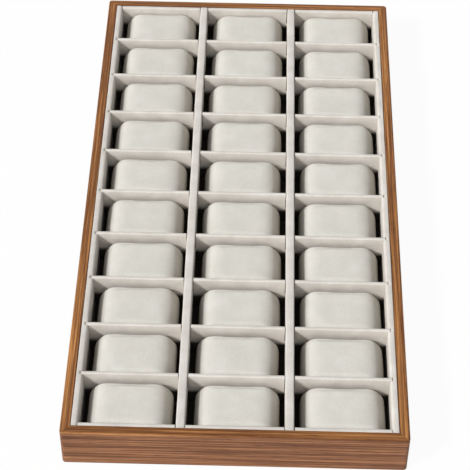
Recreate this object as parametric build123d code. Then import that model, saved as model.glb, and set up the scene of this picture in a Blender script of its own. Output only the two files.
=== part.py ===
import os

from build123d import *

# An open display tray for watches and bracelets: a mitred wooden frame, a base board, velvet covered
# liners and a halved grid of dividers, with one loose velvet cushion in each of its cells.
# The origin is the middle of the underside. +X is the right, +Y the back and +Z up. Millimetres.

# Outer frame
case_width = 270.0
case_length = 522.0
case_height = 38.6
rail_thickness = 8.0
corner_radius = 3.0
rail_edge_radius = 0.8
rail_inner_edge_radius = 0.4

# Underside felt, base board and floor lining, from below
felt_thickness = 0.8
felt_margin = 2.0
base_thickness = 4.0
base_rebate_depth = 4.0
base_fit = 0.15
lining_thickness = 0.8
lining_fit = 0.25

# Liners around the inside of the frame
liner_drop = 0.3
liner_fit = 0.1
side_liner_thickness = 5.5
end_liner_thickness = 3.4
side_liner_edge_radius = 2.0
end_liner_edge_radius = 1.0

# Divider grid: the middle column is a little wider than the others, and the back row a little shorter
column_count = 3
row_count = 10
middle_column_extra = 1.75
back_row_shortfall = 3.4
long_divider_thickness = 7.0
cross_divider_thickness = 3.0
long_divider_edge_radius = 1.0
cross_divider_edge_radius = 0.8
halving_fit = 0.5
halving_height_fit = 0.3
end_slot_depth = 2.0
end_slot_fit = 0.25

# Cushions: foam blocks in sewn velvet covers, all alike, with their end gap that of the short back row
pillow_side_gap = 4.375
pillow_end_gap = 0.58
pillow_floor_gap = 0.3
pillow_top_depth = 4.2
pillow_crown = 1.0
pillow_shoulder_width = 12.0
pillow_foot_width = 8.0
pillow_widest_level = 12.5
pillow_end_draw = 1.8
pillow_edge_roll = 3.5
pillow_waist = 0.3

# Levels and inner sizes
base_bottom = felt_thickness
base_top = base_bottom + base_thickness
board_bottom = base_top + lining_thickness
board_top = case_height - liner_drop
board_height = board_top - board_bottom
halving_level = board_bottom + board_height / 2
inner_width = case_width - 2 * rail_thickness
inner_length = case_length - 2 * rail_thickness
cell_area_width = inner_width - 2 * side_liner_thickness
cell_area_length = inner_length - 2 * end_liner_thickness
grid_front = -cell_area_length / 2
grid_back = cell_area_length / 2
long_divider_total = (column_count - 1) * long_divider_thickness
cross_divider_total = (row_count - 1) * cross_divider_thickness
side_cell_width = (cell_area_width - long_divider_total - middle_column_extra) / column_count
column_pitch = side_cell_width + middle_column_extra + long_divider_thickness
cell_length = (cell_area_length - cross_divider_total + back_row_shortfall) / row_count
row_pitch = cell_length + cross_divider_thickness
long_divider_xs = [(index - column_count / 2 + 1) * column_pitch for index in range(column_count - 1)]
divider_back_faces = [grid_front + (index + 1) * row_pitch for index in range(row_count - 1)]
cross_divider_ys = [face - cross_divider_thickness / 2 for face in divider_back_faces]
column_names = ["left", "middle", "right"]
pillow_width = side_cell_width - 2 * pillow_side_gap
pillow_length = cell_length - back_row_shortfall - 2 * pillow_end_gap
pillow_height = board_height - pillow_floor_gap - pillow_top_depth

os.makedirs("parts", exist_ok=True)


def block(x_range, y_range, z_range):
    """A box between two corners, given as a low and a high value on each axis."""
    size = [high - low for low, high in (x_range, y_range, z_range)]
    middle = [(high + low) / 2 for low, high in (x_range, y_range, z_range)]
    return Pos(*middle) * Box(*size)


def centred(middle, width):
    """The low and high value of a width about its middle."""
    return middle - width / 2, middle + width / 2


def save(solid, name):
    """Write one piece to its own file."""
    solid.label = name
    export_step(solid, f"parts/{name}.step")


def top_edges(solid, axis):
    """The edges of a board's top face that run along one axis."""
    return solid.faces().sort_by(Axis.Z)[-1].edges().filter_by(axis)


# Frame rails: one ring, cut apart along its four mitres

def frame_ring():
    outer_half_width = case_width / 2
    outer_half_length = case_length / 2
    ring = block(
        (-outer_half_width, outer_half_width),
        (-outer_half_length, outer_half_length),
        (felt_thickness, case_height),
    )
    ring = fillet(ring.edges().filter_by(Axis.Z), corner_radius)
    ring = fillet(ring.faces().sort_by(Axis.Z)[-1].edges(), rail_edge_radius)
    ring -= block(
        centred(0, inner_width),
        centred(0, inner_length),
        (base_top, case_height),
    )
    inner_rim = ring.faces().sort_by(Axis.Z)[-1].inner_wires()[0].edges()
    ring = fillet(inner_rim, rail_inner_edge_radius)
    ring -= block(
        centred(0, inner_width + 2 * base_rebate_depth),
        centred(0, inner_length + 2 * base_rebate_depth),
        (felt_thickness, base_top),
    )
    return ring


def mitre_wedge(corner_a, corner_b):
    """The ground between two frame corners that belongs to one rail, as a tall prism."""
    reach = rail_thickness * 2
    (ax, ay), (bx, by) = corner_a, corner_b
    points = [
        (ax + reach * sign(ax), ay + reach * sign(ay)),
        (bx + reach * sign(bx), by + reach * sign(by)),
        (bx - reach * sign(bx), by - reach * sign(by)),
        (ax - reach * sign(ax), ay - reach * sign(ay)),
    ]
    face = make_face(Polyline(*points, close=True))
    return extrude(face, case_height + felt_thickness)


def sign(value):
    return 1 if value > 0 else -1


def rails():
    ring = frame_ring()
    half_width = case_width / 2
    half_length = case_length / 2
    corners = {
        "front_rail": ((-half_width, -half_length), (half_width, -half_length)),
        "right_rail": ((half_width, -half_length), (half_width, half_length)),
        "back_rail": ((half_width, half_length), (-half_width, half_length)),
        "left_rail": ((-half_width, half_length), (-half_width, -half_length)),
    }
    return {name: ring & mitre_wedge(*pair) for name, pair in corners.items()}


# Base: felt under the frame, a board in the rebate and the dark lining of the cell floors

def base_felt():
    felt = block(
        centred(0, case_width - 2 * felt_margin),
        centred(0, case_length - 2 * felt_margin),
        (0, felt_thickness),
    )
    return fillet(felt.edges().filter_by(Axis.Z), corner_radius)


def base_board():
    width = inner_width + 2 * (base_rebate_depth - base_fit)
    length = inner_length + 2 * (base_rebate_depth - base_fit)
    return block(centred(0, width), centred(0, length), (base_bottom, base_top))


def floor_lining():
    width = inner_width - 2 * lining_fit
    length = inner_length - 2 * lining_fit
    return block(centred(0, width), centred(0, length), (base_top, board_bottom))


# Liners and dividers: covered boards that stand on the floor lining, all with their tops in one plane

def side_liner(side):
    outer = side * (inner_width / 2 - liner_fit)
    inner = side * cell_area_width / 2
    liner = block(
        sorted((outer, inner)),
        centred(0, inner_length - 2 * liner_fit),
        (board_bottom, board_top),
    )
    long_edges = top_edges(liner, Axis.Y).sort_by(Axis.X)
    inner_edge = long_edges[0] if side > 0 else long_edges[-1]
    liner = fillet(inner_edge, side_liner_edge_radius)
    for y in cross_divider_ys:
        liner -= block(
            sorted((inner, inner + side * end_slot_depth)),
            centred(y, cross_divider_thickness + 2 * end_slot_fit),
            (board_bottom, board_top),
        )
    return liner


def halving_slots(board, y_range):
    """Slots from the board's top down to half its height, where the long dividers cross it."""
    for x in long_divider_xs:
        board -= block(
            centred(x, long_divider_thickness + 2 * halving_fit),
            y_range,
            (halving_level - halving_height_fit / 2, board_top),
        )
    return board


def end_liner(side):
    outer = side * (inner_length / 2 - liner_fit)
    inner = side * cell_area_length / 2
    liner = block(
        centred(0, cell_area_width - 2 * liner_fit),
        sorted((outer, inner)),
        (board_bottom, board_top),
    )
    long_edges = top_edges(liner, Axis.X).sort_by(Axis.Y)
    inner_edge = long_edges[0] if side > 0 else long_edges[-1]
    liner = fillet(inner_edge, end_liner_edge_radius)
    return halving_slots(liner, sorted((outer, inner)))


def cross_divider(y):
    length = cell_area_width + 2 * (end_slot_depth - end_slot_fit)
    y_range = centred(y, cross_divider_thickness)
    divider = block(centred(0, length), y_range, (board_bottom, board_top))
    divider = fillet(top_edges(divider, Axis.X), cross_divider_edge_radius)
    return halving_slots(divider, y_range)


def long_divider(x):
    x_range = centred(x, long_divider_thickness)
    length = inner_length - 2 * liner_fit
    divider = block(x_range, centred(0, length), (board_bottom, board_top))
    divider = fillet(top_edges(divider, Axis.Y), long_divider_edge_radius)
    slot_levels = (board_bottom, halving_level + halving_height_fit / 2)
    for y in cross_divider_ys:
        slot_range = centred(y, cross_divider_thickness + 2 * end_slot_fit)
        divider -= block(x_range, slot_range, slot_levels)
    end_notch = end_liner_thickness + end_slot_fit
    for side in (-1, 1):
        notch_range = sorted((side * inner_length / 2, side * (inner_length / 2 - end_notch)))
        divider -= block(x_range, notch_range, slot_levels)
    return divider


# Cushions: a rounded block along Y, widest below its middle, drawn in at its two end panels

def cushion_section(y, draw, crown):
    """The cushion's outline across its width at one place along Y, standing on z = 0."""
    half_width = pillow_width / 2 - draw
    top = pillow_height - draw
    widest = pillow_widest_level
    shoulder_x = pillow_width / 2 - pillow_shoulder_width
    shoulder_z = top - crown
    foot_x = pillow_width / 2 - pillow_foot_width - draw
    bend = 2 ** -0.5
    shoulder_mid = (
        shoulder_x + (half_width - shoulder_x) * bend,
        widest + (shoulder_z - widest) * bend,
    )
    foot_mid = (
        foot_x + (half_width - foot_x) * bend,
        widest - widest * bend,
    )
    right = [(foot_x, 0), foot_mid, (half_width, widest), shoulder_mid, (shoulder_x, shoulder_z)]
    left = [(-x, z) for x, z in reversed(right)]
    outline = Line(left[-1], right[0])
    outline += ThreePointArc(right[0], right[1], right[2])
    outline += ThreePointArc(right[2], right[3], right[4])
    outline += ThreePointArc(right[4], (0, top), left[0])
    outline += ThreePointArc(left[0], left[1], left[2])
    outline += ThreePointArc(left[2], left[3], left[4])
    plane = Plane(origin=(0, y, 0), x_dir=(1, 0, 0), z_dir=(0, -1, 0))
    return plane * make_face(outline)


def pillow():
    """A cushion with its length along Y, standing on z = 0 about the origin."""
    end = pillow_length / 2
    stations = [
        (-end, pillow_end_draw, pillow_crown / 2),
        (-end + pillow_edge_roll, 0, pillow_crown),
        (0, pillow_waist, pillow_crown),
        (end - pillow_edge_roll, 0, pillow_crown),
        (end, pillow_end_draw, pillow_crown / 2),
    ]
    return loft([cushion_section(*station) for station in stations], ruled=True)


def cell_columns():
    """The low and high X of each column of cells, from the left."""
    edges = [-cell_area_width / 2]
    for x in long_divider_xs:
        edges += [x - long_divider_thickness / 2, x + long_divider_thickness / 2]
    edges.append(cell_area_width / 2)
    return list(zip(edges[0::2], edges[1::2]))


def cell_rows():
    """The low and high Y of each row of cells, from the front."""
    edges = [grid_front]
    for face in divider_back_faces:
        edges += [face - cross_divider_thickness, face]
    edges.append(grid_back)
    return list(zip(edges[0::2], edges[1::2]))


for rail_name, rail in rails().items():
    save(rail, rail_name)

save(base_felt(), "base_felt")
save(base_board(), "base_board")
save(floor_lining(), "floor_lining")
save(side_liner(-1), "left_liner")
save(side_liner(1), "right_liner")
save(end_liner(-1), "front_liner")
save(end_liner(1), "back_liner")

for divider_name, divider_x in zip(("left", "right"), long_divider_xs):
    save(long_divider(divider_x), f"long_divider_{divider_name}")

for number, divider_y in enumerate(cross_divider_ys, start=1):
    save(cross_divider(divider_y), f"cross_divider_{number:02d}")

cushion = pillow()
for row, (front, back) in enumerate(cell_rows(), start=1):
    for column_name, (left, right) in zip(column_names, cell_columns()):
        place = Pos((left + right) / 2, (front + back) / 2, board_bottom + pillow_floor_gap)
        save(place * cushion, f"pillow_row{row:02d}_{column_name}")
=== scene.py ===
# %% [markdown]
# An open display tray for watches: a mitred frame in wood grain film, a halved grid of boards wrapped in
# pale velvet, and one loose velvet cushion in each cell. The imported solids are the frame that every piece
# here is fitted to, so the script starts by loading them and reads all sizes from their boxes.

# %% Load the frame
import math
import random

import bpy
import bmesh
from mathutils import Matrix, Vector, noise


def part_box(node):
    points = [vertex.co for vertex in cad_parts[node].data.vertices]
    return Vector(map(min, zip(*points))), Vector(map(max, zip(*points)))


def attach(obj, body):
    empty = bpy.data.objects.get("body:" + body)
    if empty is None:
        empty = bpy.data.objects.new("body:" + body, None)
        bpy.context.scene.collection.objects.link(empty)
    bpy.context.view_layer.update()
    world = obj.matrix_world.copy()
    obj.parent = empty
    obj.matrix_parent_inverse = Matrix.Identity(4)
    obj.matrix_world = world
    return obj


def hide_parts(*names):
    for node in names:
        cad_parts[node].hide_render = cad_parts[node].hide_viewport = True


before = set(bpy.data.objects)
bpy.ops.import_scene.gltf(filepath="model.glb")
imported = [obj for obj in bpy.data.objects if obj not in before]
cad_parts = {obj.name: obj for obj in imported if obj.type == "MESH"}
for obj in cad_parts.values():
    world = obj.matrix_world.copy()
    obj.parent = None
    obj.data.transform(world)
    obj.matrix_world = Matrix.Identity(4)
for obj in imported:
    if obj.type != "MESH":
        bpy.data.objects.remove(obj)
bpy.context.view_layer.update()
MM = 0.001

# %% [markdown]
# The camera comes first, because everything is judged through it. A lens pointed by hand never quite
# matches, so its place and its three angles come from fitting a pinhole camera to the straight edges of the
# tray: about 1.5 m away on a long lens, 47 degrees down, turned and rolled by less than one degree.

# %% Camera
IMAGE_WIDTH = 470
FOCAL_PIXELS = 1700.0
SENSOR_MM = 36.0
CAMERA_PLACE = Vector((12.5, -1036.0, 1098.5)) * MM
YAW = 0.01714
PITCH = 0.82118
ROLL = 0.00970
HALF_PIXEL = 0.5 / IMAGE_WIDTH
VIEW_DEPTH = 20


def new_object(name, data):
    """Puts a mesh, a lamp or a camera in the scene under a name."""
    made = bpy.data.objects.new(name, data)
    bpy.context.scene.collection.objects.link(made)
    return made


def camera_axes(yaw, pitch, roll):
    """The camera's right, up and forward directions."""
    ahead = Vector((-math.sin(yaw) * math.cos(pitch), math.cos(yaw) * math.cos(pitch), -math.sin(pitch)))
    level = Vector((math.cos(yaw), math.sin(yaw), 0))
    lift = level.cross(ahead)
    right = level * math.cos(roll) + lift * math.sin(roll)
    up = lift * math.cos(roll) - level * math.sin(roll)
    return right, up, ahead


def make_camera():
    right, up, ahead = camera_axes(YAW, PITCH, ROLL)
    data = bpy.data.cameras.new("camera")
    data.lens = FOCAL_PIXELS / IMAGE_WIDTH * SENSOR_MM
    data.sensor_width = SENSOR_MM
    data.shift_x = -HALF_PIXEL
    data.shift_y = HALF_PIXEL
    data.clip_end = VIEW_DEPTH
    camera = new_object("camera", data)
    camera.matrix_world = Matrix.Translation(CAMERA_PLACE) @ Matrix((right, up, -ahead)).transposed().to_4x4()
    bpy.context.scene.camera = camera
    return camera


camera = make_camera()
print("lens in mm", round(camera.data.lens, 1))

# %% [markdown]
# The world, the floor and every finish are trees of nodes. Three helpers keep them short: one turns a
# colour as a painter would pick it into what a shader needs, one adds a node with all that it is given, and
# one starts an empty material.

# %% Node helpers
def linear(code):
    """An sRGB hex colour as the linear values that shaders use."""
    values = [int(code[i:i + 2], 16) / 255 for i in (0, 2, 4)]
    return tuple(v / 12.92 if v <= 0.04045 else ((v + 0.055) / 1.055) ** 2.4 for v in values) + (1,)


def add_node(tree, kind, settings=None, inputs=None, links=None, stops=()):
    """Adds a node with its properties, socket values, links from other nodes' outputs and colour stops."""
    node = tree.nodes.new(kind)
    for key, value in (settings or {}).items():
        setattr(node, key, value)
    for key, value in (inputs or {}).items():
        node.inputs[key].default_value = value
    for key, output in (links or {}).items():
        tree.links.new(output, node.inputs[key])
    while stops and len(node.color_ramp.elements) < len(stops):
        node.color_ramp.elements.new(0.5)
    for number, (position, code) in enumerate(stops):
        node.color_ramp.elements[number].position = position
        node.color_ramp.elements[number].color = linear(code)
    return node


def new_material(name):
    material = bpy.data.materials.new(name)
    material.use_nodes = True
    tree = material.node_tree
    tree.nodes.clear()
    return material, tree


# %% [markdown]
# Velvet, film and board need soft but directed light. One large key stands on the left and in front, about
# 40 degrees up, so that the left wall of each cell throws a slanting shadow and the right flank of each
# cushion turns dark. A sun with a wide angle gives that in all cells alike, where a near lamp would fade
# along the tray. A pale world fills the rest, more from the left and front than from the right and back.
# Only camera rays and glossy ones see it as plain white.

# %% Light
KEY_DIRECTION = Vector((-0.62, -0.45, 0.64))
KEY_STRENGTH = 2.6
KEY_ANGLE = math.radians(9)
FILL_RANGE = (0.0, 0.98)
FILL_FROM = Vector((-0.65, -0.76, 0))


def make_world():
    world = bpy.data.worlds.new("studio")
    world.use_nodes = True
    tree = world.node_tree
    tree.nodes.clear()
    path = add_node(tree, "ShaderNodeLightPath")
    seen = add_node(tree, "ShaderNodeMath", {"operation": "MAXIMUM"},
                    links={0: path.outputs["Is Camera Ray"], 1: path.outputs["Is Glossy Ray"]})
    direction = add_node(tree, "ShaderNodeTexCoord")
    towards = add_node(tree, "ShaderNodeVectorMath", {"operation": "DOT_PRODUCT"}, {1: FILL_FROM},
                       {0: direction.outputs["Generated"]})
    fill = add_node(tree, "ShaderNodeMapRange",
                    inputs={"From Min": -1, "From Max": 1, "To Min": FILL_RANGE[0], "To Max": FILL_RANGE[1]},
                    links={"Value": towards.outputs["Value"]})
    strength = add_node(tree, "ShaderNodeMix", {"data_type": "FLOAT"}, {"B": 1.0},
                        {"Factor": seen.outputs[0], "A": fill.outputs[0]})
    back = add_node(tree, "ShaderNodeBackground", inputs={"Color": (1, 1, 1, 1)},
                    links={"Strength": strength.outputs[0]})
    add_node(tree, "ShaderNodeOutputWorld", links={"Surface": back.outputs[0]})
    bpy.context.scene.world = world


def make_key():
    data = bpy.data.lights.new("key", "SUN")
    data.energy = KEY_STRENGTH
    data.angle = KEY_ANGLE
    key = new_object("key", data)
    key.rotation_euler = KEY_DIRECTION.to_track_quat("Z", "Y").to_euler()


make_world()
make_key()
bpy.context.scene.view_settings.view_transform = "Standard"
print("key height in degrees", round(math.degrees(math.asin(KEY_DIRECTION.normalized().z))))

# %% [markdown]
# The floor is a large disc of white paper, a hair below the felt. To the camera most of it is plain white,
# so that it melts into the background and only a faint soft shadow is left. From below it is clear, so that
# the underside can be seen.

# %% Floor
FLOOR_RADIUS = 4.0
FLOOR_SIDES = 96
FLOOR_LEVEL_MM = -0.2
PAPER_GREY = 0.86
PLAIN_WHITE_SHARE = 0.95


def studio_paper():
    material, tree = new_material("studio_paper")
    path = add_node(tree, "ShaderNodeLightPath")
    share = add_node(tree, "ShaderNodeMath", {"operation": "MULTIPLY"}, {1: PLAIN_WHITE_SHARE},
                     {0: path.outputs["Is Camera Ray"]})
    paper = add_node(tree, "ShaderNodeBsdfDiffuse", inputs={"Color": (PAPER_GREY, PAPER_GREY, PAPER_GREY, 1)})
    white = add_node(tree, "ShaderNodeEmission", inputs={"Strength": 1.0})
    mix = add_node(tree, "ShaderNodeMixShader",
                   links={0: share.outputs[0], 1: paper.outputs[0], 2: white.outputs[0]})
    side = add_node(tree, "ShaderNodeNewGeometry")
    clear = add_node(tree, "ShaderNodeBsdfTransparent")
    one_sided = add_node(tree, "ShaderNodeMixShader",
                         links={0: side.outputs["Backfacing"], 1: mix.outputs[0], 2: clear.outputs[0]})
    add_node(tree, "ShaderNodeOutputMaterial", links={"Surface": one_sided.outputs[0]})
    return material


def make_floor():
    mesh = bpy.data.meshes.new("floor")
    shape = bmesh.new()
    bmesh.ops.create_circle(shape, cap_ends=True, segments=FLOOR_SIDES, radius=FLOOR_RADIUS)
    shape.faces.ensure_lookup_table()
    if shape.faces[0].normal.z < 0:
        bmesh.ops.reverse_faces(shape, faces=shape.faces)
    shape.to_mesh(mesh)
    shape.free()
    mesh.materials.append(studio_paper())
    floor = new_object("floor", mesh)
    floor.location.z = FLOOR_LEVEL_MM * MM
    print("floor radius in m", FLOOR_RADIUS)


make_floor()

# %% [markdown]
# Materials. The rails are fibreboard in a printed wood grain film: satin, with streaks that run along each
# rail and turn at the mitres. The boards and cushions are short pile velvet: no highlight, a soft bright
# edge where the pile is seen from the side, and cloudy patches where it has been stroked. Sizes are in
# millimetres, and patterns read object coordinates, so they stay put on the piece. A Mix node has sockets
# of the same name for numbers and for colours, so the ones for colours are called by number.

# %% Shared material parts
MIX_SHARE = 0
MIX_FIRST = 6
MIX_SECOND = 7
MIX_RESULT = 2


def mapped(tree, period_mm, offset=(0, 0, 0)):
    """Object coordinates divided by a pattern's period in millimetres along X, Y and Z."""
    place = add_node(tree, "ShaderNodeTexCoord")
    scale = [1 / (period * MM) for period in period_mm]
    mapping = add_node(tree, "ShaderNodeMapping", inputs={"Scale": scale, "Location": offset},
                       links={"Vector": place.outputs["Object"]})
    return mapping.outputs[0]


def top_share(tree, steep, level):
    """1 on faces that look up and 0 on upright ones, between two values of the normal's height."""
    facing = add_node(tree, "ShaderNodeNewGeometry")
    parts = add_node(tree, "ShaderNodeSeparateXYZ", links={0: facing.outputs["Normal"]})
    share = add_node(tree, "ShaderNodeMapRange", inputs={"From Min": steep, "From Max": level},
                     links={"Value": parts.outputs["Z"]})
    return share.outputs[0]


# %% [markdown]
# Wood grain film. Real grain is long and thin, so one noise is squeezed across the grain to a streak every
# millimetre or two. A second one, wider, gives the bands of light and dark, and a third, short one dots the
# pores. Faces that look up are painted more golden and upright faces greyer, as light falls differently on
# them, and a painted shade darkens the rail's inner edge where it meets the lining. It is satin, so its
# roughness wanders a little with the streaks. Each grain direction has its own material.

# %% Wood grain film
STREAK_MM = 0.95
STREAK_LENGTH_MM = 110.0
BAND_MM = 3.0
BAND_LENGTH_MM = 176.0
BAND_START = (3.1, 1.7, 0.4)
PORE_MM = 0.6
PORE_LENGTH_MM = 13.2
STREAK_SHARE = 0.55
PORE_SHARE = 0.5
FILM_LIT_TOP_LEVELS = (0.45, 0.9)
INNER_EDGE_SHADE_MM = 0.9


def from_middle(tree, axis):
    """The distance from the tray's middle along one axis, in metres."""
    place = add_node(tree, "ShaderNodeTexCoord")
    parts = add_node(tree, "ShaderNodeSeparateXYZ", links={0: place.outputs["Object"]})
    distance = add_node(tree, "ShaderNodeMath", {"operation": "ABSOLUTE"}, links={0: parts.outputs[axis]})
    return distance.outputs[0]


def wood_film(name, along, inner_edge):
    """Film with its grain along axis 0 or 1, on a rail whose inner face is inner_edge from the middle."""
    material, tree = new_material(name)
    across = 1 - along

    def periods(width, length):
        size = [width, width, width]
        size[along] = length
        return size

    band = add_node(tree, "ShaderNodeTexNoise", inputs={"Scale": 1.0, "Detail": 3.0, "Distortion": 0.3},
                    links={"Vector": mapped(tree, periods(BAND_MM, BAND_LENGTH_MM), BAND_START)})
    streak = add_node(tree, "ShaderNodeTexNoise", inputs={"Scale": 1.0, "Detail": 4.0, "Roughness": 0.6},
                      links={"Vector": mapped(tree, periods(STREAK_MM, STREAK_LENGTH_MM))})
    pore = add_node(tree, "ShaderNodeTexNoise", inputs={"Scale": 1.0, "Detail": 2.0},
                    links={"Vector": mapped(tree, periods(PORE_MM, PORE_LENGTH_MM))})
    body = add_node(tree, "ShaderNodeValToRGB", links={0: band.outputs[0]},
                    stops=[(0.32, "673F29"), (0.46, "7E5238"), (0.56, "8D5F42"), (0.70, "BC8760")])
    fine = add_node(tree, "ShaderNodeValToRGB", links={0: streak.outputs[0]},
                    stops=[(0.40, "4E2C19"), (0.50, "825638"), (0.60, "D29B6E")])
    dots = add_node(tree, "ShaderNodeValToRGB", links={0: pore.outputs[0]},
                    stops=[(0.34, "8F857C"), (0.44, "FFFFFF")])
    grain = add_node(tree, "ShaderNodeMix", {"data_type": "RGBA"}, {MIX_SHARE: STREAK_SHARE},
                     {MIX_FIRST: body.outputs[0], MIX_SECOND: fine.outputs[0]})
    pored = add_node(tree, "ShaderNodeMix", {"data_type": "RGBA", "blend_type": "MULTIPLY"},
                     {MIX_SHARE: PORE_SHARE},
                     {MIX_FIRST: grain.outputs[MIX_RESULT], MIX_SECOND: dots.outputs[0]})
    # Painted light: faces that look up are tinted golden and upright faces greyer.
    facing_light_tint = add_node(tree, "ShaderNodeMix", {"data_type": "RGBA"},
                    {MIX_FIRST: linear("E8E1DB"), MIX_SECOND: linear("FDF4CF")},
                    {MIX_SHARE: top_share(tree, *FILM_LIT_TOP_LEVELS)})
    facing_lit = add_node(tree, "ShaderNodeMix", {"data_type": "RGBA", "blend_type": "MULTIPLY"},
                      {MIX_SHARE: 1.0},
                      {MIX_FIRST: pored.outputs[MIX_RESULT], MIX_SECOND: facing_light_tint.outputs[MIX_RESULT]})
    # Painted shade: the colour darkens along the rail's inner edge, where it meets the lining.
    edge = add_node(tree, "ShaderNodeMapRange",
                    inputs={"From Min": inner_edge + INNER_EDGE_SHADE_MM * MM, "From Max": inner_edge},
                    links={"Value": from_middle(tree, across)})
    colour = add_node(tree, "ShaderNodeMix", {"data_type": "RGBA", "blend_type": "MULTIPLY"},
                      {MIX_SECOND: linear("B9B4B0")},
                      {MIX_SHARE: edge.outputs[0], MIX_FIRST: facing_lit.outputs[MIX_RESULT]})
    rough = add_node(tree, "ShaderNodeMapRange", inputs={"To Min": 0.40, "To Max": 0.55},
                     links={"Value": streak.outputs[0]})
    bump = add_node(tree, "ShaderNodeBump", inputs={"Strength": 0.12, "Distance": 0.08 * MM},
                    links={"Height": streak.outputs[0]})
    shader = add_node(tree, "ShaderNodeBsdfPrincipled", inputs={"IOR": 1.5, "Specular IOR Level": 0.22},
                      links={"Base Color": colour.outputs[MIX_RESULT], "Roughness": rough.outputs[0],
                             "Normal": bump.outputs[0]})
    add_node(tree, "ShaderNodeOutputMaterial", links={"Surface": shader.outputs[0]})
    return material


film_along_x = wood_film("wood_grain_film_across", 0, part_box("back_rail")[0].y)
film_along_y = wood_film("wood_grain_film_lengthwise", 1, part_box("right_rail")[0].x)
print("films", film_along_x.name, film_along_y.name)

# %% [markdown]
# Short pile velvet, in two shades. A real pile is finer than a pixel here, so its speckle is drawn at about
# three quarters of a millimetre to show at all. The cloudy patches are 14 mm wide, as a finger leaves them.
# On the boards the colour fades to a dark grey about half way down, a painted shade for the deep cells.
# Steep faces get a darker tint, a painted shade for flanks turned from the light: strong on the cushions,
# faint on the boards.

# %% Velvet
PILE_MM = 0.75
PILE_SHARE = 0.45
CLOUD_MM = 14.0
CLOUD_STOPS = (0.30, 0.50, 0.70)
# Painted shade: faces steeper than these levels of the normal take the darker flank colour.
SHADED_FLANK_LEVELS = (0.15, 0.82)
# Painted shade: low on the boards the colour fades to this dark grey, for the deep shade in the cells.
PAINTED_DEEP_SHADE = "3A3530"
DEEP_SHADE_RAMP_MM = (17.5, 21.5)


def out_of_deep_shade(tree):
    """0 where a board's colour is the painted deep shade and 1 where it is plain velvet, by the height above
    the tray's foot.
    """
    place = add_node(tree, "ShaderNodeTexCoord")
    parts = add_node(tree, "ShaderNodeSeparateXYZ", links={0: place.outputs["Object"]})
    share = add_node(tree, "ShaderNodeMapRange",
                     inputs={"From Min": DEEP_SHADE_RAMP_MM[0] * MM, "From Max": DEEP_SHADE_RAMP_MM[1] * MM},
                     links={"Value": parts.outputs["Z"]})
    return share.outputs[0]


def velvet(name, clouds, flank_shade, sheen, with_deep_shade):
    """Velvet with three cloud colours and painted shade on steep faces. On a board it fades to painted deep
    shade low down.
    """
    material, tree = new_material(name)
    cloud = add_node(tree, "ShaderNodeTexNoise", inputs={"Scale": 1.0, "Detail": 2.0},
                     links={"Vector": mapped(tree, [CLOUD_MM] * 3)})
    pile = add_node(tree, "ShaderNodeTexNoise", inputs={"Scale": 1.0, "Detail": 2.0, "Roughness": 0.7},
                    links={"Vector": mapped(tree, [PILE_MM] * 3)})
    patches = add_node(tree, "ShaderNodeValToRGB", links={0: cloud.outputs[0]},
                       stops=list(zip(CLOUD_STOPS, clouds)))
    speckle = add_node(tree, "ShaderNodeValToRGB", links={0: pile.outputs[0]},
                       stops=[(0.25, "D8D6D2"), (0.60, "FFFFFF")])
    piled = add_node(tree, "ShaderNodeMix", {"data_type": "RGBA", "blend_type": "MULTIPLY"},
                     {MIX_SHARE: PILE_SHARE}, {MIX_FIRST: patches.outputs[0], MIX_SECOND: speckle.outputs[0]})
    # Painted shade: steep faces are darkened, as flanks turned from the light are.
    facing_light_tint = add_node(tree, "ShaderNodeMix", {"data_type": "RGBA"},
                    {MIX_FIRST: linear(flank_shade), MIX_SECOND: linear("FFFFFF")},
                    {MIX_SHARE: top_share(tree, *SHADED_FLANK_LEVELS)})
    facing_lit = add_node(tree, "ShaderNodeMix", {"data_type": "RGBA", "blend_type": "MULTIPLY"},
                      {MIX_SHARE: 1.0},
                      {MIX_FIRST: piled.outputs[MIX_RESULT], MIX_SECOND: facing_light_tint.outputs[MIX_RESULT]})
    colour = facing_lit.outputs[MIX_RESULT]
    # Painted shade: low on a board the colour fades to a dark grey between these heights.
    if with_deep_shade:
        shaded_low = add_node(tree, "ShaderNodeMix", {"data_type": "RGBA"}, {MIX_FIRST: linear(PAINTED_DEEP_SHADE)},
                           {MIX_SHARE: out_of_deep_shade(tree), MIX_SECOND: colour})
        colour = shaded_low.outputs[MIX_RESULT]
    bump = add_node(tree, "ShaderNodeBump", inputs={"Strength": 0.25, "Distance": 0.15 * MM},
                    links={"Height": pile.outputs[0]})
    shader = add_node(tree, "ShaderNodeBsdfPrincipled",
                      inputs={"Roughness": 0.95, "Specular IOR Level": 0.08, "Sheen Weight": sheen,
                              "Sheen Roughness": 0.45, "Sheen Tint": linear("F4EFE6")},
                      links={"Base Color": colour, "Normal": bump.outputs[0]})
    add_node(tree, "ShaderNodeOutputMaterial", links={"Surface": shader.outputs[0]})
    return material


BOARD_CLOUDS = ("D2CDC6", "D9D4CD", "E0DCD6")
CUSHION_CLOUDS = ("D7D4CB", "DAD7CF", "DEDBD4")
# Boards get a faint painted flank shade and the painted deep shade low down; cushions get a strong flank
# shade.
board_velvet = velvet("velvet_on_board", BOARD_CLOUDS, "FAF8F6", sheen=0.16, with_deep_shade=True)
cushion_velvet = velvet("velvet_on_foam", CUSHION_CLOUDS, "827D74", sheen=0.05, with_deep_shade=False)
print("velvets", board_velvet.name, cushion_velvet.name)

# %% [markdown]
# The hidden materials: black flocked card on the cell floors, raw fibreboard under it, and felt below. Felt
# and flock are the same idea, a speckle of fibres with no shine. Fibreboard shows short pressed fibres.

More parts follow.
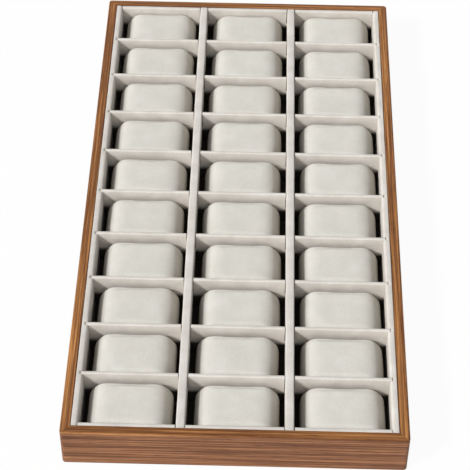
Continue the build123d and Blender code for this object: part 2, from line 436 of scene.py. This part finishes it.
# %% Card, board and felt
def fibrous(name, dark, pale, period_mm, roughness):
    material, tree = new_material(name)
    fibre = add_node(tree, "ShaderNodeTexNoise", inputs={"Scale": 1.0, "Detail": 4.0, "Roughness": 0.7},
                     links={"Vector": mapped(tree, period_mm)})
    colour = add_node(tree, "ShaderNodeValToRGB", links={0: fibre.outputs[0]},
                      stops=[(0.35, dark), (0.65, pale)])
    bump = add_node(tree, "ShaderNodeBump", inputs={"Strength": 0.3, "Distance": 0.2 * MM},
                    links={"Height": fibre.outputs[0]})
    shader = add_node(tree, "ShaderNodeBsdfPrincipled",
                      inputs={"Roughness": roughness, "Specular IOR Level": 0.1},
                      links={"Base Color": colour.outputs[0], "Normal": bump.outputs[0]})
    add_node(tree, "ShaderNodeOutputMaterial", links={"Surface": shader.outputs[0]})
    return material


flocked_card = fibrous("flocked_card_black", "332F2A", "423C36", [0.8] * 3, roughness=0.95)
raw_fibreboard = fibrous("fibreboard_pressed", "8A6B4C", "A98A68", [2.5, 2.5, 0.6], roughness=0.85)
black_felt = fibrous("felt_pressed_black", "16161A", "2B2B30", [1.2] * 3, roughness=0.97)
print("hidden finishes", flocked_card.name, raw_fibreboard.name, black_felt.name)

# %% [markdown]
# The rails, the base board, the lining and the felt have their true shapes in the solids already: straight
# board with small rounded edges. They stay as they are and only get their finish.

# %% Finish the solids that stay
KEPT_FINISHES = {
    "front_rail": film_along_x,
    "back_rail": film_along_x,
    "left_rail": film_along_y,
    "right_rail": film_along_y,
    "base_board": raw_fibreboard,
    "base_felt": black_felt,
    "floor_lining": flocked_card,
}
for node_name, finish in KEPT_FINISHES.items():
    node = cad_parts[node_name]
    node.data.materials.clear()
    node.data.materials.append(finish)
print("solids with a finish", len(KEPT_FINISHES))

# %% [markdown]
# Covered boards. Each liner and divider is a card board with velvet wrapped over its top edge. The edge is
# soft, and the cloth is never quite straight. A box would look like plastic, so each board is lofted here
# from a rounded section. Slots are made by lowering the section's top, raising its bottom or moving one
# side between two stations along the run, which keeps the mesh even.

# %% Board section and loft
STATION_MM = 4.0
SIDE_STEPS = 5
ROUND_STEPS = 4
SAME_PLACE = 1e-6


def board_section(low, high, bottom, top, round_low, round_high):
    """The closed section of a board: (across, height) points from the low side's foot, over the top."""
    points = []
    for step in range(SIDE_STEPS):
        points.append((low, bottom + (top - round_low - bottom) * step / SIDE_STEPS))
    for step in range(ROUND_STEPS + 1):
        angle = math.pi / 2 * step / ROUND_STEPS
        points.append((low + round_low * (1 - math.cos(angle)), top - round_low * (1 - math.sin(angle))))
    for step in range(ROUND_STEPS + 1):
        angle = math.pi / 2 * (1 - step / ROUND_STEPS)
        points.append((high - round_high * (1 - math.cos(angle)), top - round_high * (1 - math.sin(angle))))
    for step in range(SIDE_STEPS - 1, -1, -1):
        points.append((high, bottom + (top - round_high - bottom) * step / SIDE_STEPS))
    return points


def stations(start, end, cuts):
    """Places along a board with the cuts that hold there. A cut's edge gives two stations at one place."""
    breaks = sorted({start, end} | {edge for cut in cuts for edge in cut[:2] if start < edge < end})
    result = []
    for a, b in zip(breaks, breaks[1:]):
        middle = (a + b) / 2
        changes = {part: value for low, high, part, value in cuts if low < middle < high}
        count = max(1, round((b - a) / (STATION_MM * MM)))
        result += [(a + (b - a) * i / count, changes) for i in range(count + 1)]
    return result


def join_rings(shape, ring_a, ring_b):
    """Fills the band between two closed rings of as many points."""
    for i in range(len(ring_a)):
        j = (i + 1) % len(ring_a)
        shape.faces.new((ring_a[i], ring_a[j], ring_b[j], ring_b[i]))


def loft_board(name, along, run, across, levels, rounds, cuts):
    """A board along X or Y. cuts holds (from, to, part, value), with part low, high, bottom or top."""
    shape = bmesh.new()
    rings = []
    for place, changes in stations(run[0], run[1], cuts):
        size = {"low": across[0], "high": across[1], "bottom": levels[0], "top": levels[1], **changes}
        section = board_section(size["low"], size["high"], size["bottom"], size["top"], *rounds)
        ring = []
        for side, height in section:
            spot = (place, side, height) if along == 0 else (side, place, height)
            ring.append(shape.verts.new(spot))
        rings.append(ring)
    for ring_a, ring_b in zip(rings, rings[1:]):
        join_rings(shape, ring_a, ring_b)
    shape.faces.new(rings[0])
    shape.faces.new(rings[-1])
    bmesh.ops.remove_doubles(shape, verts=shape.verts, dist=SAME_PLACE)
    bmesh.ops.dissolve_degenerate(shape, dist=SAME_PLACE, edges=shape.edges)
    bmesh.ops.recalc_face_normals(shape, faces=shape.faces)
    mesh = bpy.data.meshes.new(name)
    shape.to_mesh(mesh)
    shape.free()
    return mesh


# %% [markdown]
# The cloth's slight waves, and the nine equal cross dividers, come from one Geometry Nodes tree. It puts
# copies of a board in a row, makes them real, and then moves their points by a noise that reads the place
# in the tray, so that no two boards have the same wave. A count of one gives a liner or a long divider.

# %% Geometry Nodes tree for covered boards
BOARD_SOCKETS = {
    "Board": "Object",
    "Count": "Int",
    "Step": "Vector",
    "Wave height": "Vector",
    "Wave length": "Float",
    "Seed": "Float",
    "Cloth": "Material",
}


def board_tree():
    """The tree, and the identifier of each of its named inputs."""
    tree = bpy.data.node_groups.new("covered_boards", "GeometryNodeTree")
    sockets = {}
    for label, kind in BOARD_SOCKETS.items():
        item = tree.interface.new_socket(label, in_out="INPUT", socket_type=f"NodeSocket{kind}")
        sockets[label] = item.identifier
    tree.interface.new_socket("Boards", in_out="OUTPUT", socket_type="NodeSocketGeometry")
    given = add_node(tree, "NodeGroupInput")
    board = add_node(tree, "GeometryNodeObjectInfo", links={"Object": given.outputs["Board"]})
    row = add_node(tree, "GeometryNodeMeshLine", {"mode": "OFFSET"},
                   links={"Count": given.outputs["Count"], "Offset": given.outputs["Step"]})
    copies = add_node(tree, "GeometryNodeInstanceOnPoints",
                      links={"Points": row.outputs[0], "Instance": board.outputs["Geometry"]})
    real = add_node(tree, "GeometryNodeRealizeInstances", links={"Geometry": copies.outputs[0]})
    place = add_node(tree, "GeometryNodeInputPosition")
    scaled = add_node(tree, "ShaderNodeVectorMath", {"operation": "DIVIDE"},
                      links={0: place.outputs[0], 1: given.outputs["Wave length"]})
    wave = add_node(tree, "ShaderNodeTexNoise", {"noise_dimensions": "4D"}, {"Scale": 1.0, "Detail": 1.0},
                    {"Vector": scaled.outputs[0], "W": given.outputs["Seed"]})
    centred = add_node(tree, "ShaderNodeVectorMath", {"operation": "SUBTRACT"}, {1: (0.5, 0.5, 0.5)},
                       {0: wave.outputs["Color"]})
    offset = add_node(tree, "ShaderNodeVectorMath", {"operation": "MULTIPLY"},
                      links={0: centred.outputs[0], 1: given.outputs["Wave height"]})
    moved = add_node(tree, "GeometryNodeSetPosition",
                     links={"Geometry": real.outputs[0], "Offset": offset.outputs[0]})
    clothed = add_node(tree, "GeometryNodeSetMaterial",
                       links={"Geometry": moved.outputs[0], "Material": given.outputs["Cloth"]})
    add_node(tree, "NodeGroupOutput", links={0: clothed.outputs[0]})
    return tree, sockets


boards_tree, board_sockets = board_tree()
print("inputs of the board tree", list(board_sockets))

# %% [markdown]
# A board mesh goes through the tree on a carrier object, and the result is kept as a plain mesh, because
# the modifier has to be gone before the piece rides on the tray. Faces are shaded smooth over the soft top
# edge and stay sharp at the board's ends and slots.

# %% Run a board through the tree
WAVE_MM = (0.35, 0.35, 0.45)
WAVE_LENGTH_MM = 22.0
SMOOTH_ANGLE = math.radians(50)


def covered_boards(name, mesh, nodes, count=1, step=(0, 0, 0), seed=0.0):
    """Runs one board mesh through the tree and keeps the result as a plain mesh on the tray."""
    source = new_object("board_source", mesh)
    carrier = new_object("board_carrier", bpy.data.meshes.new("board_carrier"))
    modifier = carrier.modifiers.new("boards", "NODES")
    modifier.node_group = boards_tree
    values = {
        "Board": source,
        "Count": count,
        "Step": step,
        "Wave height": [v * MM for v in WAVE_MM],
        "Wave length": WAVE_LENGTH_MM * MM,
        "Seed": seed,
        "Cloth": board_velvet,
    }
    for label, value in values.items():
        modifier[board_sockets[label]] = value
    graph = bpy.context.evaluated_depsgraph_get()
    made = bpy.data.meshes.new_from_object(carrier.evaluated_get(graph))
    made.name = name
    made.shade_smooth()
    made.set_sharp_from_angle(angle=SMOOTH_ANGLE)
    bpy.data.objects.remove(carrier)
    bpy.data.objects.remove(source)
    piece = new_object(name, made)
    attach(piece, "tray")
    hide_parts(*nodes)
    print(name, "faces", len(made.polygons))
    return piece


# %% [markdown]
# The boards' sizes come from the solids' boxes. A long divider runs from rail to rail on top, a cross divider
# has its ends in the side liners' slots, and where two boards cross, each gives up half of its height. The
# slots are cut a little wide, so that the dark gaps at the crossings show, as they do on the real grid.

# %% Liners and dividers
LONG_NODES = ["long_divider_left", "long_divider_right"]
CROSS_NODES = [f"cross_divider_{number:02d}" for number in range(1, 10)]
TOP_ROUND_MM = 0.9
LONG_ROUND_MM = 1.1
SIDE_ROUND_MM = 2.2
RAIL_SIDE_ROUND_MM = 0.5
HALVING_FIT_MM = 0.6
SLOT_FIT_MM = 0.25


def halving_level():
    low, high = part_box(CROSS_NODES[0])
    return (low.z + high.z) / 2


def cross_slots():
    """The slots that the long dividers need in a board across the tray."""
    slots = []
    for node in LONG_NODES:
        low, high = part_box(node)
        slots.append((low.x - HALVING_FIT_MM * MM, high.x + HALVING_FIT_MM * MM, "top", halving_level()))
    return slots


def board_across(name, nodes, rounds, step=(0, 0, 0), seed=0.0):
    low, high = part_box(nodes[0])
    mesh = loft_board(name, 0, (low.x, high.x), (low.y, high.y), (low.z, high.z),
                      [r * MM for r in rounds], cross_slots())
    return covered_boards(name, mesh, nodes, len(nodes), step, seed)


def board_lengthwise(name, rounds, cuts, seed):
    low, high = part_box(name)
    mesh = loft_board(name + "_velvet", 1, (low.y, high.y), (low.x, high.x), (low.z, high.z),
                      [r * MM for r in rounds], cuts)
    return covered_boards(name + "_velvet", mesh, [name], seed=seed)


cross_low, cross_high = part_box(CROSS_NODES[0])
row_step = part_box(CROSS_NODES[1])[0].y - cross_low.y
board_across("cross_dividers_velvet", CROSS_NODES, (TOP_ROUND_MM, TOP_ROUND_MM), (0, row_step, 0), seed=4.0)
board_across("front_liner_velvet", ["front_liner"], (RAIL_SIDE_ROUND_MM, TOP_ROUND_MM), seed=9.0)
board_across("back_liner_velvet", ["back_liner"], (TOP_ROUND_MM, RAIL_SIDE_ROUND_MM), seed=13.0)

slot_fit = SLOT_FIT_MM * MM
cross_places = [(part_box(node)[0].y - slot_fit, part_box(node)[1].y + slot_fit) for node in CROSS_NODES]
left_cuts = [(a, b, "high", cross_low.x - slot_fit) for a, b in cross_places]
right_cuts = [(a, b, "low", cross_high.x + slot_fit) for a, b in cross_places]
board_lengthwise("left_liner", (RAIL_SIDE_ROUND_MM, SIDE_ROUND_MM), left_cuts, seed=17.0)
board_lengthwise("right_liner", (SIDE_ROUND_MM, RAIL_SIDE_ROUND_MM), right_cuts, seed=21.0)

long_low, long_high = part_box(LONG_NODES[0])
front_notch = (long_low.y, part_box("front_liner")[1].y + slot_fit)
back_notch = (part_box("back_liner")[0].y - slot_fit, long_high.y)
long_cuts = [(a, b, "bottom", halving_level()) for a, b in cross_places + [front_notch, back_notch]]
board_lengthwise(LONG_NODES[0], (LONG_ROUND_MM, LONG_ROUND_MM), long_cuts, seed=27.0)
board_lengthwise(LONG_NODES[1], (LONG_ROUND_MM, LONG_ROUND_MM), long_cuts, seed=31.0)

# %% [markdown]
# Cushions. Each is a strip of velvet sewn around a foam block, with a flat panel at each end. A box with
# bevels misses what gives them away: a nearly flat top, a fold at each side, and flanks that lean out from
# the fold to the widest place below the middle, where the light leaves them. The section is made of
# straight sides with soft corners, and its points are spread evenly, because cloth needs even faces.

# %% Cushion section
CUSHION_RING = 72
CORNER_STEPS = 12
CROWN_MM = 0.7
FOLD_IN_MM = 10.5
FOLD_REACH_MM = 5.5
WIDEST_SHARE = 0.46
WIDER_MM = 1.6
WIDEST_REACH_MM = 9.0
FOOT_IN_MM = 6.0
FOOT_REACH_MM = 6.0


def cushion_size():
    low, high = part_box("pillow_row01_left")
    return high - low


def soft_corners(corners):
    """A closed outline with each (across, height, reach) corner drawn as a curve that starts reach away."""
    points = []
    for index, (across, height, reach) in enumerate(corners):
        here = Vector((across, height))
        before = Vector(corners[index - 1][:2])
        after = Vector(corners[(index + 1) % len(corners)][:2])
        start = here + (before - here).normalized() * reach
        end = here + (after - here).normalized() * reach
        for step in range(CORNER_STEPS + 1):
            share = step / CORNER_STEPS
            points.append(start.lerp(here, share).lerp(here.lerp(end, share), share))
    return points


def evenly(points, count):
    """The same closed outline as points that are evenly far apart."""
    ends = points[1:] + points[:1]
    lengths = [(b - a).length for a, b in zip(points, ends)]
    spacing = sum(lengths) / count
    result = []
    passed = 0
    for a, b, length in zip(points, ends, lengths):
        while len(result) < count and len(result) * spacing <= passed + length:
            result.append(a.lerp(b, (len(result) * spacing - passed) / length if length else 0))
        passed += length
    return result


def cushion_section(size):
    """The cushion's outline across its width, as points that go around from the right end of its top."""
    half = (size.x + WIDER_MM * MM) / 2
    top = size.z - CROWN_MM * MM
    widest = size.z * WIDEST_SHARE
    right = [
        (half - FOLD_IN_MM * MM, top, FOLD_REACH_MM * MM),
        (half, widest, WIDEST_REACH_MM * MM),
        (half - FOOT_IN_MM * MM, 0, FOOT_REACH_MM * MM),
    ]
    left = [(-across, height, reach) for across, height, reach in reversed(right)]
    outline = evenly(soft_corners(right + left), CUSHION_RING)
    stretch = half / max(point.x for point in outline)
    for point in outline:
        point.x *= stretch
        point.y += CROWN_MM * MM * (1 - (point.x / half) ** 2) * point.y / size.z
    return outline


print("cushion size in mm", [round(v / MM, 1) for v in cushion_size()])

# %% [markdown]
# The section is lofted along the cushion. Rings lie close together near the ends, where the strip rolls
# over to the end panel, and each panel is a set of rings that shrink to its middle. The form is made a
# little too small all around, which leaves room for the filling to push it out.

# %% Cushion loft
CUSHION_STATIONS = 30
CAP_RINGS = 6
CAP_BULGE_MM = 0.35
END_ROLL_MM = 3.0
END_DRAW_MM = 0.25
DRAW_LENGTH_MM = 5.0
SWELL_ROOM_MM = 0.4


def cushion_stations(length):
    """(place along the cushion, distance moved in): close together at the rolled ends."""
    roll = END_ROLL_MM * MM
    steps = []
    for i in range(CUSHION_STATIONS + 1):
        share = 0.5 - 0.5 * math.cos(math.pi * i / CUSHION_STATIONS)
        place = (share - 0.5) * length
        depth = min(share, 1 - share) * length
        inward = roll - math.sqrt(max(roll ** 2 - (roll - depth) ** 2, 0)) if depth < roll else 0
        drawn = END_DRAW_MM * MM * math.exp(-depth / (DRAW_LENGTH_MM * MM))
        steps.append((place, inward + drawn))
    return steps


def end_panel(shape, end, outward, middle_height):
    """Closes one end with rings that shrink to a middle point, which stands out a little."""
    middle = Vector((0, end[0].co.y, middle_height))
    previous = end
    for k in range(1, CAP_RINGS):
        share = 1 - k / CAP_RINGS
        bulge = Vector((0, outward * CAP_BULGE_MM * MM * (1 - share * share), 0))
        ring = [shape.verts.new(middle.lerp(v.co, share) + bulge) for v in end]
        join_rings(shape, previous, ring)
        previous = ring
    centre = shape.verts.new(middle + Vector((0, outward * CAP_BULGE_MM * MM, 0)))
    for i in range(CUSHION_RING):
        shape.faces.new((previous[i], previous[(i + 1) % CUSHION_RING], centre))


def cushion_mesh(size):
    """A closed cushion about the origin, standing on z = 0."""
    room = SWELL_ROOM_MM * MM
    section = cushion_section(size)
    middle_height = size.z / 2
    shape = bmesh.new()
    rings = []
    for place, inward in cushion_stations(size.y - 2 * room):
        narrower = 1 - (inward + room) / (size.x / 2)
        lower = 1 - (inward + room) / middle_height
        ring = []
        for point in section:
            height = middle_height + (point.y - middle_height) * lower
            ring.append(shape.verts.new((point.x * narrower, place, height)))
        rings.append(ring)
    end_panel(shape, rings[0], -1, middle_height)
    end_panel(shape, rings[-1], 1, middle_height)
    for ring_a, ring_b in zip(rings, rings[1:]):
        join_rings(shape, ring_a, ring_b)
    bmesh.ops.recalc_face_normals(shape, faces=shape.faces)
    mesh = bpy.data.meshes.new("cushion_form")
    shape.to_mesh(mesh)
    shape.free()
    return mesh


cushion_form = cushion_mesh(cushion_size())
print("faces of a cushion", len(cushion_form.polygons))

# %% [markdown]
# A short cloth simulation with a little pressure fills the form, as the foam does. Gravity is off. Each
# point may move by little more than the room that was left around the form, so the cushion fills its cell
# and doesn't reach the boards.

# %% Fill the cushion
PRESSURE = 4.0
CLOTH_STEPS = 6
SIM_FRAMES = 16
MOVE_CAP_MM = 0.5


def inflate(mesh):
    start = [v.co.copy() for v in mesh.vertices]
    scene = bpy.context.scene
    body = new_object("cushion_trial", mesh)
    cloth = body.modifiers.new("cloth", "CLOTH")
    cloth.settings.use_pressure = True
    cloth.settings.uniform_pressure_force = PRESSURE
    cloth.settings.effector_weights.gravity = 0
    cloth.settings.quality = CLOTH_STEPS
    cloth.collision_settings.use_collision = False
    cloth.point_cache.frame_end = SIM_FRAMES
    for step in range(1, SIM_FRAMES + 1):
        scene.frame_set(step)
    graph = bpy.context.evaluated_depsgraph_get()
    moved = [v.co.copy() for v in body.evaluated_get(graph).data.vertices]
    scene.frame_set(1)
    bpy.data.objects.remove(body)
    furthest = 0
    for vertex, before, after in zip(mesh.vertices, start, moved):
        shift = after - before
        furthest = max(furthest, shift.length)
        if shift.length > MOVE_CAP_MM * MM:
            shift *= MOVE_CAP_MM * MM / shift.length
        vertex.co = before + shift
    print("cushion swell in mm", round(furthest / MM, 2))


inflate(cushion_form)

# %% [markdown]
# Thirty cushions from one form. Handmade cushions differ by a little, so each gets its own soft dents, a
# small turn and a small shift, all from a fixed seed. They lie a little to the right in their cells and
# nearer the board in front of them, except where the gap there is tight already. The crease beside each
# end seam is a narrow groove. Each lifts out by itself, so the thirty stay separate pieces.

# %% Dress each cell
CREASE_FROM_END_MM = 3.3
CREASE_WIDTH_MM = 0.8
CREASE_DEPTH_MM = 0.55
DENT_MM = 0.3
DENT_SIZE_MM = 17.0
DENT_SINK_SHARE = 0.3
DENT_FREE_END_MM = 6.0
SEED_RANGE = 50
TURN_DEGREES = 0.3
SHIFT_MM = 0.8
SHIFT_RIGHT_MM = 0.5
FRONT_SHARE = 0.5
TIGHT_GAP_MM = 0.6
COLUMN_NAMES = ["left", "middle", "right"]
ROW_COUNT = 10
chance = random.Random(11)


def cell_front(row):
    """The face of the board in front of a row of cells."""
    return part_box(CROSS_NODES[row - 2] if row > 1 else "front_liner")[1].y


def shape_cushion(mesh, node_name, row):
    """Presses in the creases and dents, and puts the mesh in its cell."""
    low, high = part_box(node_name)
    forward = max(0, low.y - cell_front(row) - TIGHT_GAP_MM * MM) * FRONT_SHARE
    seed = Vector([chance.uniform(0, SEED_RANGE) for axis in range(3)])
    turn = Matrix.Rotation(math.radians(chance.uniform(-TURN_DEGREES, TURN_DEGREES)), 3, "Z")
    shift = Vector(((SHIFT_RIGHT_MM + chance.uniform(-SHIFT_MM, SHIFT_MM)) * MM, -forward, 0))
    centre = Vector(((low.x + high.x) / 2, (low.y + high.y) / 2, low.z))
    half = cushion_size().y / 2
    normals = [v.normal.copy() for v in mesh.vertices]
    for vertex, normal in zip(mesh.vertices, normals):
        spot = vertex.co.copy()
        from_end = half - abs(spot.y)
        groove = math.exp(-((from_end - CREASE_FROM_END_MM * MM) / (CREASE_WIDTH_MM * MM)) ** 2)
        dent = noise.noise(spot / (DENT_SIZE_MM * MM) + seed) * DENT_MM * MM
        inside = min(1, max(0, from_end / (DENT_FREE_END_MM * MM)))
        spot -= normal * (groove * CREASE_DEPTH_MM * MM + (DENT_SINK_SHARE * DENT_MM * MM - dent) * inside)
        spot.z = max(spot.z, 0)
        vertex.co = turn @ spot + centre + shift


def make_cushion(node_name, row):
    mesh = cushion_form.copy()
    mesh.name = node_name + "_velvet"
    shape_cushion(mesh, node_name, row)
    mesh.materials.append(cushion_velvet)
    mesh.shade_smooth()
    piece = new_object(node_name + "_velvet", mesh)
    smooth = piece.modifiers.new("smooth", "SUBSURF")
    smooth.levels = 1
    smooth.render_levels = 1
    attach(piece, node_name)
    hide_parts(node_name)
    return piece


for row in range(1, ROW_COUNT + 1):
    for column in COLUMN_NAMES:
        make_cushion(f"pillow_row{row:02d}_{column}", row)
print("cushions", ROW_COUNT * len(COLUMN_NAMES))

# %% [markdown]
# Last, the view layer is brought up to date.

# %% Finish
bpy.context.view_layer.update()
